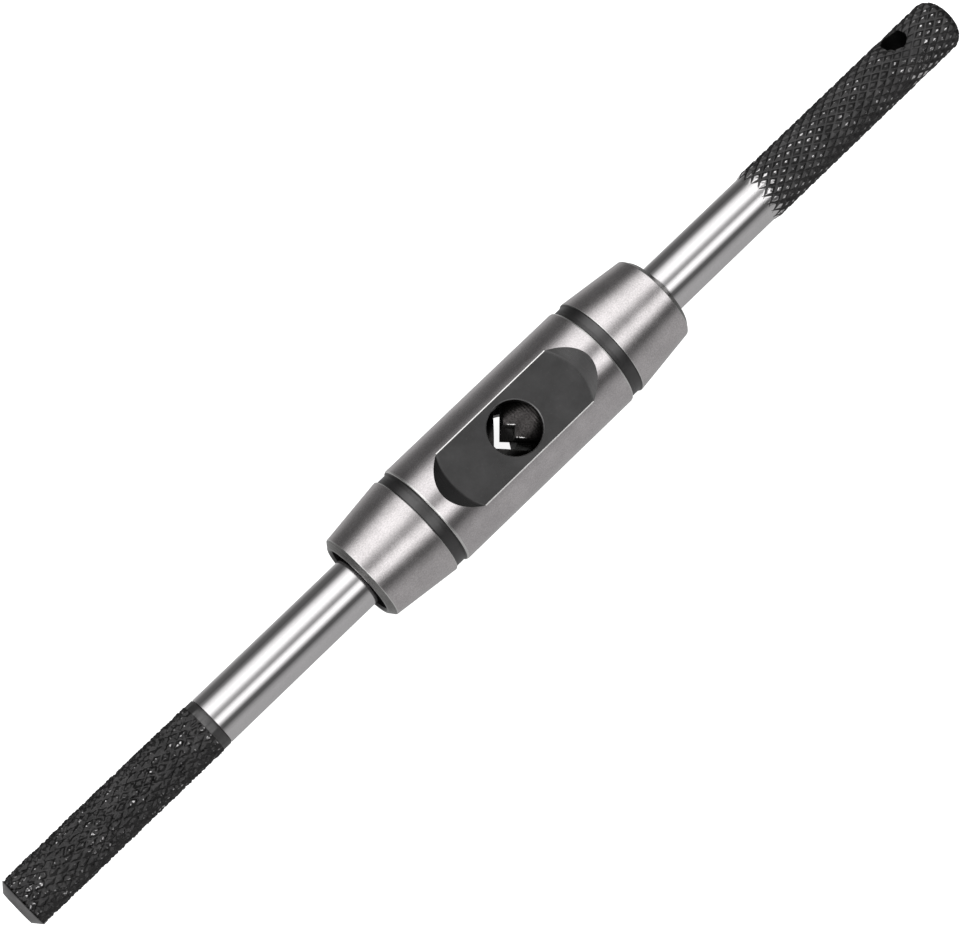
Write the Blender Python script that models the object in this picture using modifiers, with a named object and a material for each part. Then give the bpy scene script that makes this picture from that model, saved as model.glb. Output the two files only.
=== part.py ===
"""Adjustable tap wrench with a cylindrical body, for hand taps M1 to M10.

The tool lies along X. The origin is on its long axis, where the tap's own axis
crosses it. +X points to the handle that turns, +Z along the tap, out of the
upper window. All the lengths are in metres.
"""
import math

import bmesh
import bpy
from mathutils import Matrix, Vector

MM = 0.001
FIT_GAP = 0.3 * MM          # clearance left between neighbouring pieces

# Body: one bar, bored through, with a window milled on each side of the tap hole.
BODY_RADIUS = 8.45 * MM
BODY_HALF_LENGTH = 29.85 * MM
CONE_LARGE_RADIUS = 8.40 * MM
CONE_SMALL_RADIUS = 7.15 * MM
CONE_END_X = 29.1 * MM
BODY_FACE_RADIUS = 6.2 * MM
GROOVE_INNER_X = 16.6 * MM
GROOVE_OUTER_X = 18.6 * MM
GROOVE_RADIUS = 8.10 * MM
BORE_RADIUS = 5.5 * MM
BORE_MOUTH_CHAMFER = 0.3 * MM
WINDOW_FLAT_HEIGHT = 6.83 * MM
WINDOW_CUTTER_RADIUS = 10.0 * MM
WINDOW_CUTTER_TRAVEL = 2.0 * MM      # cutter centre's travel each way along X
WINDOW_WALL_RUN = 1.47               # outward run of the sloping end wall, per unit of height
TAP_HOLE_RADIUS = 4.0 * MM

# Jaws: round blocks in the bore, with 90 degree vees facing each other.
JAW_RADIUS = BORE_RADIUS - FIT_GAP
FIXED_JAW_BACK_X = -20.5 * MM
FIXED_JAW_FRONT_X = 0.4 * MM
FIXED_VEE_X = -3.95 * MM
NOSE_TIP_X = -1.90 * MM              # where the moving jaw's two flanks would meet
NOTCH_VEE_X = 0.60 * MM              # bottom of the small vee in the moving jaw
NOTCH_FLOOR_Z = 2.4 * MM
NOSE_PLATE_BOTTOM_Z = 1.2 * MM
NOSE_RELIEF_X = 2.5 * MM
NOSE_RELIEF_SLOPE = 1.16             # X run of the relief's slanted edge, per unit of Y
MOVING_JAW_BACK_X = 12.0 * MM

# Swivel between the moving jaw and the screwed handle.
SOCKET_FLOOR_X = 6.4 * MM
SOCKET_RADIUS = 3.6 * MM
BUTTON_FRONT_X = 6.9 * MM
BUTTON_BACK_X = 8.7 * MM
BUTTON_RADIUS = 3.2 * MM
NECK_RADIUS = 1.8 * MM
RETAINING_PIN_RADIUS = 0.75 * MM
RETAINING_PIN_X = BUTTON_BACK_X + FIT_GAP + RETAINING_PIN_RADIUS
RETAINING_PIN_Y = NECK_RADIUS + FIT_GAP + RETAINING_PIN_RADIUS
RETAINING_PIN_LENGTH = 8.0 * MM

# Key that stops the moving jaw from turning: a dog point screw in the lower window.
KEY_X = 8.9 * MM
KEY_SLOT_START_X = 3.9 * MM
KEY_SLOT_FLOOR_Z = -4.2 * MM
KEY_DOG_RADIUS = 1.0 * MM
KEY_SCREW_RADIUS = 1.5 * MM

# Screw bush in the body's right end, and the locking pins hidden in the grooves.
BUSH_FRONT_X = 15.9 * MM
BUSH_BACK_X = 28.9 * MM
BUSH_COUNTERBORE_X = 24.3 * MM
THREAD_CORE_RADIUS = 3.1 * MM
LOCK_PIN_X = 17.6 * MM
LOCK_PIN_RADIUS = 0.9 * MM
LOCK_PIN_OUTER_Z = -7.9 * MM
LOCK_PIN_INNER_Z = -4.2 * MM
LOCK_HOLE_FLOOR_Z = -3.9 * MM

# Handles.
ROD_RADIUS = 4.0 * MM
GRIP_RADIUS = 4.25 * MM
FIXED_THREAD_RADIUS = 3.0 * MM
FIXED_THREAD_END_X = -12.5 * MM
FIXED_SOCKET_FLOOR_X = -12.1 * MM
FIXED_SHOULDER_X = FIXED_JAW_BACK_X - FIT_GAP
SLEEVE_INNER_X = -58.0 * MM
SLEEVE_OUTER_X = -94.05 * MM
SLEEVE_RADIUS = 4.15 * MM
SLEEVE_COLLAR_LENGTH = 1.4 * MM
SLEEVE_COLLAR_RADIUS = 4.0 * MM
SLEEVE_CHAMFER_LENGTH = 1.05 * MM
SLEEVE_FACE_RADIUS = 2.8 * MM
SPIGOT_RADIUS = 2.5 * MM
SPIGOT_END_X = -86.0 * MM
SPINDLE_THREAD_START_X = 12.0 * MM
SPINDLE_SHOULDER_X = 26.3 * MM
SPINDLE_GRIP_X = 50.1 * MM
SPINDLE_END_X = 91.1 * MM
SPINDLE_END_ROUNDING = 1.8 * MM
CROSS_HOLE_X = 82.15 * MM
CROSS_HOLE_RADIUS = 2.0 * MM
CROSS_HOLE_ANGLE = math.radians(49)       # from +Z towards +Y

# Number of flats on round pieces.
BODY_SIDES = 32
ROD_SIDES = 24
PIN_SIDES = 16

ALONG_X = (0, math.pi / 2, 0)        # turns a piece made along Z to lie along X


def clear_scene():
    for obj in list(bpy.data.objects):
        bpy.data.objects.remove(obj, do_unlink=True)


def new_collection(name):
    collection = bpy.data.collections.new(name)
    bpy.context.scene.collection.children.link(collection)
    return collection


def new_material(name, colour, roughness, metallic):
    material = bpy.data.materials.new(name)
    material.use_nodes = True
    shader = material.node_tree.nodes["Principled BSDF"]
    shader.inputs["Base Color"].default_value = (*colour, 1.0)
    shader.inputs["Roughness"].default_value = roughness
    shader.inputs["Metallic"].default_value = metallic
    material.diffuse_color = (*colour, 1.0)
    return material


def move_to(obj, collection):
    for old in list(obj.users_collection):
        old.objects.unlink(obj)
    collection.objects.link(obj)


def shade_round(mesh):
    mesh.shade_smooth()
    mesh.set_sharp_from_angle(angle=math.radians(30))


def arc(centre_x, centre_radius, size, start, end, steps=4):
    """Points (x, radius) on a rounded edge, from angle start to end in degrees."""
    points = []
    for step in range(steps + 1):
        angle = math.radians(start + (end - start) * step / steps)
        points.append((centre_x + size * math.cos(angle), centre_radius + size * math.sin(angle)))
    return points


def turned(name, outer, bore, sides, material, origin_x=0.0):
    """A piece turned about X.

    outer and bore are (x, radius) points from left to right. Together they close the
    section, except along the axis. The flats of the faceted surface touch the true
    round one from outside.
    """
    section = list(reversed(outer)) + list(bore)
    stretch = 1 / math.cos(math.pi / sides)
    half_flat = math.pi / sides
    vertices = []
    for x, radius in section:
        flat_radius = radius * stretch
        vertices.append((flat_radius * math.cos(half_flat), flat_radius * math.sin(half_flat),
                         x - origin_x))
    edges = []
    for point, (_, radius) in enumerate(section):
        following = (point + 1) % len(section)
        if radius > 0 or section[following][1] > 0:
            edges.append((point, following))
    outline = bpy.data.meshes.new(name)
    outline.from_pydata(vertices, edges, [])
    obj = bpy.data.objects.new(name, outline)
    PARTS.objects.link(obj)
    screw = obj.modifiers.new("turn", "SCREW")
    screw.axis = "Z"
    screw.steps = sides
    screw.render_steps = sides
    screw.use_merge_vertices = True
    screw.merge_threshold = 0.00001
    depsgraph = bpy.context.evaluated_depsgraph_get()
    solid = bpy.data.meshes.new_from_object(obj.evaluated_get(depsgraph))
    solid.name = name
    obj.modifiers.clear()
    obj.data = solid
    bpy.data.meshes.remove(outline)
    shade_round(solid)
    solid.materials.append(material)
    obj.location = (origin_x, 0, 0)
    obj.rotation_euler = ALONG_X
    return obj


def cylinder(name, radius, start, end, sides, collection, material=None):
    """A plain cylinder between two points."""
    start = Vector(start)
    end = Vector(end)
    axis = end - start
    bpy.ops.mesh.primitive_cylinder_add(vertices=sides, radius=radius, depth=axis.length,
                                        location=(start + end) / 2,
                                        rotation=axis.to_track_quat("Z", "Y").to_euler())
    obj = bpy.context.object
    obj.name = name
    shade_round(obj.data)
    if material:
        obj.data.materials.append(material)
    move_to(obj, collection)
    return obj


def pin(name, radius, start, end, material):
    """A dowel pin with both ends chamfered."""
    obj = cylinder(name, radius, start, end, PIN_SIDES, PARTS, material)
    bevel = obj.modifiers.new("ends", "BEVEL")
    bevel.width = 0.2 * MM
    bevel.segments = 1
    bevel.limit_method = "ANGLE"
    bevel.angle_limit = math.radians(60)
    return obj


def block_cutter(name, low, high, turn=0.0):
    """A box between two corners, turned about the vertical line through its low corner."""
    low = Vector(low)
    size = Vector(high) - low
    mesh = bpy.data.meshes.new(name)
    bm = bmesh.new()
    bmesh.ops.create_cube(bm, size=1.0)
    bmesh.ops.translate(bm, verts=bm.verts, vec=(0.5, 0.5, 0.5))
    bmesh.ops.scale(bm, verts=bm.verts, vec=size)
    bmesh.ops.rotate(bm, verts=bm.verts, cent=(0, 0, 0), matrix=Matrix.Rotation(turn, 3, "Z"))
    bm.to_mesh(mesh)
    bm.free()
    obj = bpy.data.objects.new(name, mesh)
    obj.location = low
    CUTTERS.objects.link(obj)
    return obj


def plan_cutter(name, outline, low_z, high_z):
    """An upright block over a plan outline, whose (x, y) points run anticlockwise."""
    mesh = bpy.data.meshes.new(name)
    bm = bmesh.new()
    floor = bm.faces.new([bm.verts.new((x, y, low_z)) for x, y in reversed(outline)])
    bm.normal_update()
    raised = bmesh.ops.extrude_face_region(bm, geom=[floor], use_keep_orig=True)["geom"]
    top = [item for item in raised if isinstance(item, bmesh.types.BMVert)]
    bmesh.ops.translate(bm, verts=top, vec=(0, 0, high_z - low_z))
    bmesh.ops.recalc_face_normals(bm, faces=bm.faces)
    bm.to_mesh(mesh)
    bm.free()
    obj = bpy.data.objects.new(name, mesh)
    CUTTERS.objects.link(obj)
    return obj


def cut(target, cutter):
    """Takes the cutter's shape out of the target."""
    cutter.hide_render = True
    cutter.display_type = "WIRE"
    boolean = target.modifiers.new(cutter.name, "BOOLEAN")
    boolean.operation = "DIFFERENCE"
    boolean.solver = "EXACT"
    boolean.object = cutter


def window_cutter(side):
    """The milled window: a cone-sided cutter that runs a short way along X.

    side is +1 for the upper window and -1 for the lower one.
    """
    height = 3 * MM
    top_radius = WINDOW_CUTTER_RADIUS + WINDOW_WALL_RUN * height
    bm = bmesh.new()
    for end in (-1, 1):
        cone = bmesh.ops.create_cone(bm, cap_ends=False, segments=BODY_SIDES * 2,
                                     radius1=WINDOW_CUTTER_RADIUS, radius2=top_radius, depth=height)
        place = (end * WINDOW_CUTTER_TRAVEL, 0, WINDOW_FLAT_HEIGHT + height / 2)
        bmesh.ops.translate(bm, verts=cone["verts"], vec=place)
    bmesh.ops.delete(bm, geom=bm.edges, context="EDGES_FACES")
    hull = bmesh.ops.convex_hull(bm, input=bm.verts)
    inside = [item for item in hull["geom_interior"] if isinstance(item, bmesh.types.BMVert)]
    bmesh.ops.delete(bm, geom=inside, context="VERTS")
    bmesh.ops.recalc_face_normals(bm, faces=bm.faces)
    mesh = bpy.data.meshes.new("window_cutter")
    bm.to_mesh(mesh)
    bm.free()
    obj = bpy.data.objects.new(f"window_cutter_{'upper' if side > 0 else 'lower'}", mesh)
    if side < 0:
        obj.rotation_euler = (math.pi, 0, 0)
    CUTTERS.objects.link(obj)
    return obj


def make_body(material):
    left_half = [(-BODY_HALF_LENGTH, BODY_FACE_RADIUS), (-CONE_END_X, CONE_SMALL_RADIUS),
                 (-GROOVE_OUTER_X, CONE_LARGE_RADIUS), (-GROOVE_OUTER_X, GROOVE_RADIUS),
                 (-GROOVE_INNER_X, GROOVE_RADIUS), (-GROOVE_INNER_X, BODY_RADIUS)]
    right_half = [(-x, radius) for x, radius in reversed(left_half)]
    left_mouth = [(-BODY_HALF_LENGTH, BORE_RADIUS + BORE_MOUTH_CHAMFER),
                  (-BODY_HALF_LENGTH + BORE_MOUTH_CHAMFER, BORE_RADIUS)]
    right_mouth = [(-x, radius) for x, radius in reversed(left_mouth)]
    body = turned("body", left_half + right_half, left_mouth + right_mouth, BODY_SIDES, material)
    for side in (1, -1):
        cut(body, window_cutter(side))
    cut(body, cylinder("tap_hole_cutter", TAP_HOLE_RADIUS, (0, 0, -10 * MM), (0, 0, 10 * MM),
                       BODY_SIDES, CUTTERS))
    for name, x in (("fixed", -LOCK_PIN_X), ("bush", LOCK_PIN_X)):
        cut(body, cylinder(f"{name}_pin_hole_cutter", LOCK_PIN_RADIUS + FIT_GAP,
                           (x, 0, -10 * MM), (x, 0, -4 * MM), PIN_SIDES, CUTTERS))
    cut(body, cylinder("key_hole_cutter", KEY_SCREW_RADIUS + FIT_GAP,
                       (KEY_X, 0, -10 * MM), (KEY_X, 0, -4 * MM), PIN_SIDES, CUTTERS))
    return body


def make_fixed_jaw(material):
    outer = [(FIXED_JAW_BACK_X, JAW_RADIUS - FIT_GAP), (FIXED_JAW_BACK_X + FIT_GAP, JAW_RADIUS),
             (FIXED_JAW_FRONT_X, JAW_RADIUS), (FIXED_JAW_FRONT_X, 0)]
    socket_radius = FIXED_THREAD_RADIUS + FIT_GAP
    socket = [(FIXED_JAW_BACK_X, socket_radius), (FIXED_SOCKET_FLOOR_X, socket_radius),
              (FIXED_SOCKET_FLOOR_X, 0)]
    jaw = turned("fixed_jaw", outer, socket, BODY_SIDES, material, origin_x=FIXED_VEE_X)
    vee_size = 14 * MM
    cut(jaw, block_cutter("fixed_vee_cutter", (FIXED_VEE_X, 0, -8 * MM),
                          (FIXED_VEE_X + vee_size, vee_size, 8 * MM), turn=-math.pi / 4))
    cut(jaw, cylinder("fixed_jaw_pin_seat_cutter", LOCK_PIN_RADIUS + FIT_GAP,
                      (-LOCK_PIN_X, 0, -8 * MM), (-LOCK_PIN_X, 0, LOCK_HOLE_FLOOR_Z),
                      PIN_SIDES, CUTTERS))
    return jaw


def flank_outline(side):
    """Plan of what is milled off one side of the moving jaw to leave its pointed nose."""
    reach = 8 * MM
    points = [(NOSE_TIP_X - reach, 0), (NOSE_TIP_X, 0), (NOSE_TIP_X + reach, side * reach),
              (NOSE_TIP_X - reach, side * reach)]
    return points if side > 0 else list(reversed(points))


def make_moving_jaw(material):
    outer = [(NOSE_TIP_X - 1 * MM, 0), (NOSE_TIP_X - 1 * MM, JAW_RADIUS),
             (MOVING_JAW_BACK_X - FIT_GAP, JAW_RADIUS),
             (MOVING_JAW_BACK_X, JAW_RADIUS - FIT_GAP)]
    socket = [(SOCKET_FLOOR_X, 0), (SOCKET_FLOOR_X, SOCKET_RADIUS),
              (MOVING_JAW_BACK_X, SOCKET_RADIUS)]
    jaw = turned("moving_jaw", outer, socket, BODY_SIDES, material, origin_x=NOTCH_VEE_X)
    for side in (1, -1):
        cut(jaw, plan_cutter(f"flank_cutter_{'a' if side > 0 else 'b'}", flank_outline(side),
                             -8 * MM, 8 * MM))
    notch_size = 4 * MM
    cut(jaw, block_cutter("notch_cutter", (NOTCH_VEE_X, 0, NOTCH_FLOOR_Z),
                          (NOTCH_VEE_X + notch_size, notch_size, 8 * MM), turn=math.radians(135)))
    relief_depth = 6 * MM
    relief = [(NOSE_RELIEF_X, 0), (NOSE_RELIEF_X, relief_depth), (-relief_depth, relief_depth),
              (-relief_depth, -relief_depth),
              (NOSE_RELIEF_X - NOSE_RELIEF_SLOPE * relief_depth, -relief_depth)]
    cut(jaw, plan_cutter("nose_relief_cutter", relief, -8 * MM, NOSE_PLATE_BOTTOM_Z))
    slot_half_width = KEY_DOG_RADIUS + FIT_GAP
    cut(jaw, block_cutter("key_slot_cutter", (KEY_SLOT_START_X, -slot_half_width, -8 * MM),
                          (MOVING_JAW_BACK_X + 1 * MM, slot_half_width, KEY_SLOT_FLOOR_Z)))
    for name, y in (("a", RETAINING_PIN_Y), ("b", -RETAINING_PIN_Y)):
        cut(jaw, cylinder(f"jaw_pin_hole_cutter_{name}", RETAINING_PIN_RADIUS + FIT_GAP,
                          (RETAINING_PIN_X, y, -8 * MM), (RETAINING_PIN_X, y, 8 * MM),
                          PIN_SIDES, CUTTERS))
    return jaw


def make_jaw_key(material):
    """A dog point grub screw with a screwdriver slot, pointing up into the jaw's keyway."""
    head_z = -WINDOW_FLAT_HEIGHT + 0.1 * MM
    dog_top = KEY_SLOT_FLOOR_Z - FIT_GAP
    dog_bottom = -JAW_RADIUS
    section = [(dog_top, 0), (dog_top, KEY_DOG_RADIUS), (dog_bottom, KEY_DOG_RADIUS),
               (dog_bottom - FIT_GAP, KEY_SCREW_RADIUS), (head_z, KEY_SCREW_RADIUS), (head_z, 0)]
    key = turned("jaw_key", list(reversed(section)), [], PIN_SIDES, material)
    key.location = (KEY_X, 0, 0)
    key.rotation_euler = (0, 0, 0)
    slot_half = 0.25 * MM
    cut(key, block_cutter("key_driver_slot_cutter", (KEY_X - 3 * MM, -slot_half, -8 * MM),
                          (KEY_X + 3 * MM, slot_half, head_z + 0.5 * MM)))
    return key


def make_screw_bush(material):
    thread_radius = THREAD_CORE_RADIUS + FIT_GAP
    clearance_radius = ROD_RADIUS + FIT_GAP
    outer = [(BUSH_FRONT_X, JAW_RADIUS), (BUSH_BACK_X, JAW_RADIUS)]
    bore = [(BUSH_FRONT_X, thread_radius), (BUSH_COUNTERBORE_X, thread_radius),
            (BUSH_COUNTERBORE_X, clearance_radius), (BUSH_BACK_X, clearance_radius)]
    bush = turned("screw_bush", outer, bore, BODY_SIDES, material, origin_x=BUSH_FRONT_X)
    cut(bush, cylinder("bush_pin_seat_cutter", LOCK_PIN_RADIUS + FIT_GAP,
                       (LOCK_PIN_X, 0, -8 * MM), (LOCK_PIN_X, 0, LOCK_HOLE_FLOOR_Z),
                       PIN_SIDES, CUTTERS))
    return bush


def make_fixed_handle(material):
    outer = [(SPIGOT_END_X, 0), (SPIGOT_END_X, SPIGOT_RADIUS),
             (SLEEVE_INNER_X + FIT_GAP, SPIGOT_RADIUS), (SLEEVE_INNER_X + FIT_GAP, ROD_RADIUS),
             (FIXED_SHOULDER_X, ROD_RADIUS), (FIXED_SHOULDER_X, FIXED_THREAD_RADIUS),
             (FIXED_THREAD_END_X, FIXED_THREAD_RADIUS), (FIXED_THREAD_END_X, 0)]
    return turned("fixed_handle", outer, [], ROD_SIDES, material, origin_x=FIXED_SHOULDER_X)


def make_fixed_grip(material):
    collar_x = SLEEVE_INNER_X - SLEEVE_COLLAR_LENGTH
    outer = [(SLEEVE_OUTER_X, 0), (SLEEVE_OUTER_X, SLEEVE_FACE_RADIUS),
             (SLEEVE_OUTER_X + SLEEVE_CHAMFER_LENGTH, SLEEVE_RADIUS), (collar_x, SLEEVE_RADIUS),
             (collar_x, SLEEVE_COLLAR_RADIUS), (SLEEVE_INNER_X - FIT_GAP, SLEEVE_COLLAR_RADIUS),
             (SLEEVE_INNER_X, SLEEVE_COLLAR_RADIUS - FIT_GAP)]
    bore_floor = SPIGOT_END_X - FIT_GAP
    bore_radius = SPIGOT_RADIUS + FIT_GAP
    bore = [(bore_floor, 0), (bore_floor, bore_radius), (SLEEVE_INNER_X, bore_radius)]
    return turned("fixed_grip", outer, bore, ROD_SIDES, material, origin_x=SLEEVE_INNER_X)


def make_moving_handle(material):
    thread_chamfer = 0.5 * MM
    outer = [(BUTTON_FRONT_X, 0), (BUTTON_FRONT_X, BUTTON_RADIUS),
             (BUTTON_BACK_X, BUTTON_RADIUS), (BUTTON_BACK_X, NECK_RADIUS),
             (SPINDLE_THREAD_START_X, NECK_RADIUS),
             (SPINDLE_THREAD_START_X, THREAD_CORE_RADIUS - thread_chamfer),
             (SPINDLE_THREAD_START_X + thread_chamfer, THREAD_CORE_RADIUS),
             (SPINDLE_SHOULDER_X, THREAD_CORE_RADIUS), (SPINDLE_SHOULDER_X, ROD_RADIUS),
             (SPINDLE_GRIP_X, ROD_RADIUS), (SPINDLE_GRIP_X + FIT_GAP, GRIP_RADIUS)]
    outer += arc(SPINDLE_END_X - SPINDLE_END_ROUNDING, GRIP_RADIUS - SPINDLE_END_ROUNDING,
                 SPINDLE_END_ROUNDING, 90, 0)
    outer += [(SPINDLE_END_X, 0)]
    handle = turned("moving_handle", outer, [], ROD_SIDES, material, origin_x=BUTTON_BACK_X)
    across = Vector((0, math.sin(CROSS_HOLE_ANGLE), math.cos(CROSS_HOLE_ANGLE)))
    middle = Vector((CROSS_HOLE_X, 0, 0))
    cut(handle, cylinder("cross_hole_cutter", CROSS_HOLE_RADIUS, middle - across * 6 * MM,
                         middle + across * 6 * MM, PIN_SIDES, CUTTERS))
    return handle


clear_scene()
PARTS = new_collection("tap_wrench")
CUTTERS = new_collection("cutters")

ground_steel = new_material("ground_steel", (0.55, 0.54, 0.53), 0.30, 1.0)
polished_steel = new_material("polished_steel", (0.70, 0.69, 0.68), 0.18, 1.0)
black_oxide = new_material("black_oxide", (0.045, 0.045, 0.048), 0.45, 0.6)
dark_jaw_steel = new_material("dark_jaw_steel", (0.10, 0.095, 0.09), 0.40, 1.0)
bush_steel = new_material("bush_steel", (0.22, 0.22, 0.22), 0.35, 1.0)
pin_steel = new_material("pin_steel", (0.40, 0.40, 0.41), 0.25, 1.0)

body = make_body(ground_steel)
fixed_jaw = make_fixed_jaw(dark_jaw_steel)
moving_jaw = make_moving_jaw(dark_jaw_steel)
jaw_key = make_jaw_key(pin_steel)
screw_bush = make_screw_bush(bush_steel)
fixed_handle = make_fixed_handle(polished_steel)
fixed_grip = make_fixed_grip(black_oxide)
moving_handle = make_moving_handle(polished_steel)

for pin_name, pin_x in (("fixed_jaw_pin", -LOCK_PIN_X), ("bush_pin", LOCK_PIN_X)):
    pin(pin_name, LOCK_PIN_RADIUS, (pin_x, 0, LOCK_PIN_OUTER_Z), (pin_x, 0, LOCK_PIN_INNER_Z),
        pin_steel)
for pin_name, pin_y in (("jaw_pin_a", RETAINING_PIN_Y), ("jaw_pin_b", -RETAINING_PIN_Y)):
    pin(pin_name, RETAINING_PIN_RADIUS, (RETAINING_PIN_X, pin_y, -RETAINING_PIN_LENGTH / 2),
        (RETAINING_PIN_X, pin_y, RETAINING_PIN_LENGTH / 2), pin_steel)
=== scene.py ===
"""Looks of the adjustable tap wrench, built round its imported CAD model.

The tool lies along X with the tap hole's centre at the origin, +Z out of the upper
window. Lengths are in metres. Every visible piece is a fine mesh that replaces the
plain CAD node of the same name.
"""
import math

import bmesh
import bpy
import numpy as np
from mathutils import Matrix, Vector
from mathutils import noise as field


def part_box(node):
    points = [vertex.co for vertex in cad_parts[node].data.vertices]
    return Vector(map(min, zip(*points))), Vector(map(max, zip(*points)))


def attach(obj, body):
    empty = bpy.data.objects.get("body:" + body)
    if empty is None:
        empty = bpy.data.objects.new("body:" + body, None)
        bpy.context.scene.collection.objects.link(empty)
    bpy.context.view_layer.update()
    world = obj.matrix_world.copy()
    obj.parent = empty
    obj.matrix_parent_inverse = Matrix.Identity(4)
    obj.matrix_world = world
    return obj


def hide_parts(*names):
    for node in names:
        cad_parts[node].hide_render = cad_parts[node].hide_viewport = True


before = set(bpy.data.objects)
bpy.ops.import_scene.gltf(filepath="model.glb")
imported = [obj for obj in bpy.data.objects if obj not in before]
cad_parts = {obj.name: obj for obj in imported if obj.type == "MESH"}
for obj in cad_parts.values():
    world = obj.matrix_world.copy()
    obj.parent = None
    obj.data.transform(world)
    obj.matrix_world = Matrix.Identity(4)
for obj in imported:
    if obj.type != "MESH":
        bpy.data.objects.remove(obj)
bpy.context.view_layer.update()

MM = 0.001
TURN = 2 * math.pi

# Driving dimensions, the same as the CAD model's.
BODY_RADIUS = 8.45 * MM
BODY_HALF_LENGTH = 29.85 * MM
CONE_LARGE_RADIUS = 8.40 * MM
CONE_SMALL_RADIUS = 7.15 * MM
CONE_END_X = 29.1 * MM
BODY_FACE_RADIUS = 6.2 * MM
GROOVE_INNER_X = 16.6 * MM
GROOVE_OUTER_X = 18.6 * MM
GROOVE_RADIUS = 8.10 * MM
BORE_RADIUS = 5.5 * MM
WINDOW_FLAT_HEIGHT = 6.83 * MM
WINDOW_HALF_WIDTH = math.sqrt(BODY_RADIUS ** 2 - WINDOW_FLAT_HEIGHT ** 2)
WINDOW_CUTTER_RADIUS = 10.0 * MM
WINDOW_CUTTER_TRAVEL = 2.0 * MM
WINDOW_WALL_RUN = 1.47
TAP_HOLE_RADIUS = 4.0 * MM
JAW_RADIUS = 5.42 * MM
FIXED_JAW_BACK_X = -20.5 * MM
FIXED_JAW_FRONT_X = 0.4 * MM
FIXED_VEE_X = -3.95 * MM
SCREW_SOCKET_X = -12.1 * MM      # floor of the fixed jaw's socket for the left rod's screw
SCREW_SOCKET_RADIUS = 3.1 * MM
SCREW_END_X = -12.5 * MM
SCREW_RADIUS = 3.0 * MM
NOSE_TIP_X = -1.90 * MM
NOTCH_VEE_X = 0.60 * MM
NOTCH_FLOOR_Z = 2.4 * MM
NOSE_PLATE_BOTTOM_Z = 1.2 * MM
NOSE_OFF_CENTRE = 0.3 * MM       # the jaw lies a little over to +Y, with its play
NOSE_RELIEF_X = 2.5 * MM
NOSE_HEEL_X = 0.81 * MM
NOSE_HEEL_SLOPE = 0.64
NOSE_HEEL_FULLNESS = 0.45 * MM   # the heel's extra width under the nose, on the -Y side
MOVING_JAW_BACK_X = 12.0 * MM
SOCKET_FLOOR_X = 6.4 * MM
SOCKET_RADIUS = 3.6 * MM
BUTTON_FRONT_X = 6.9 * MM
BUTTON_BACK_X = 8.7 * MM
BUTTON_RADIUS = 3.4 * MM
NECK_RADIUS = 1.9 * MM
PIN_RADIUS = 0.75 * MM
PIN_X = 9.75 * MM
PIN_Y = 2.85 * MM
PIN_HALF_LENGTH = 4.2 * MM
DOWEL_CHAMFER = 0.15 * MM
KEY_X = 8.9 * MM
KEY_SLOT_START_X = 3.9 * MM
KEY_SLOT_FLOOR_Z = -4.2 * MM
KEY_SLOT_HALF_WIDTH = 1.05 * MM
KEY_RADIUS = 1.45 * MM
KEY_HOLE_RADIUS = 1.55 * MM
KEY_TIP_RADIUS = 1.0 * MM
KEY_TIP_Z = -4.4 * MM
LOCK_PIN_X = 17.6 * MM
LOCK_PIN_RADIUS = 0.9 * MM
LOCK_PIN_BOTTOM_Z = -8.0 * MM
LOCK_PIN_TOP_Z = -4.1 * MM
LOCK_SEAT_TOP_Z = -3.9 * MM
LOCK_HOLE_RADIUS = LOCK_PIN_RADIUS + 0.03 * MM
BODY_HOLE_TOP_Z = -4 * MM        # inside the bore, where cutters for the pins and key end
BUSH_FRONT_X = 15.9 * MM
BUSH_BACK_X = 28.9 * MM
BUSH_COUNTERBORE_X = 24.3 * MM
ROD_RADIUS = 3.95 * MM
GRIP_RADIUS = 4.24 * MM
THREAD_PITCH = 1.25 * MM
THREAD_CORE_RADIUS = 3.3 * MM
THREAD_DEPTH = 0.65 * MM
THREAD_CLEARANCE = 0.06 * MM
THREAD_START_X = 12.0 * MM
SHOULDER_X = 26.3 * MM
SLEEVE_INNER_X = -58.0 * MM
SLEEVE_OUTER_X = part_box("fixed_grip")[0].x
SLEEVE_RADIUS = 4.13 * MM
SLEEVE_COLLAR_X = -59.4 * MM
SLEEVE_COLLAR_RADIUS = 3.98 * MM
SLEEVE_CHAMFER_LENGTH = 1.05 * MM
SLEEVE_FACE_RADIUS = 2.8 * MM
SLEEVE_BORE_END_X = -86.3 * MM
SLEEVE_BORE_RADIUS = 2.6 * MM
SPIGOT_END_X = -86 * MM          # the left rod's thinner end, inside the sleeve
SPIGOT_RADIUS = 2.5 * MM
HANDLE_GRIP_X = 50.1 * MM
HANDLE_END_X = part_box("moving_handle")[1].x
HANDLE_END_ROUNDING = 1.8 * MM
CROSS_HOLE_X = 82.15 * MM
CROSS_HOLE_RADIUS = 2.0 * MM
CROSS_HOLE_ANGLE = math.radians(49)

# Knurling: two families of crossing helical grooves.
KNURL_STARTS = 18
LEFT_LEAD = 2.5 * MM             # spacing of the diamonds along X
LEFT_PHASE = 0.1                 # where the diamonds start, as a share of the spacing
RIGHT_LEAD = 2.365 * MM
RIGHT_PHASE = 0.436
KNURL_SLOPE = 0.46 * MM          # fall from a ridge's line to the nearest groove's
KNURL_DEPTH = 0.36 * MM
KNURL_STEPS = 14                 # mesh columns in one diamond
KNURL_ROW_PITCH = 0.14 * MM
CROSS_HOLE_DISH = 0.45 * MM      # how far the cross hole's rim has been pressed in
CROSS_HOLE_DISH_RADIUS = 3.8 * MM
RUN_OUT_START = HANDLE_GRIP_X + 0.5 * MM    # where the right grip climbs from its rod
RUN_OUT_END = HANDLE_GRIP_X + 1.9 * MM

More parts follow.
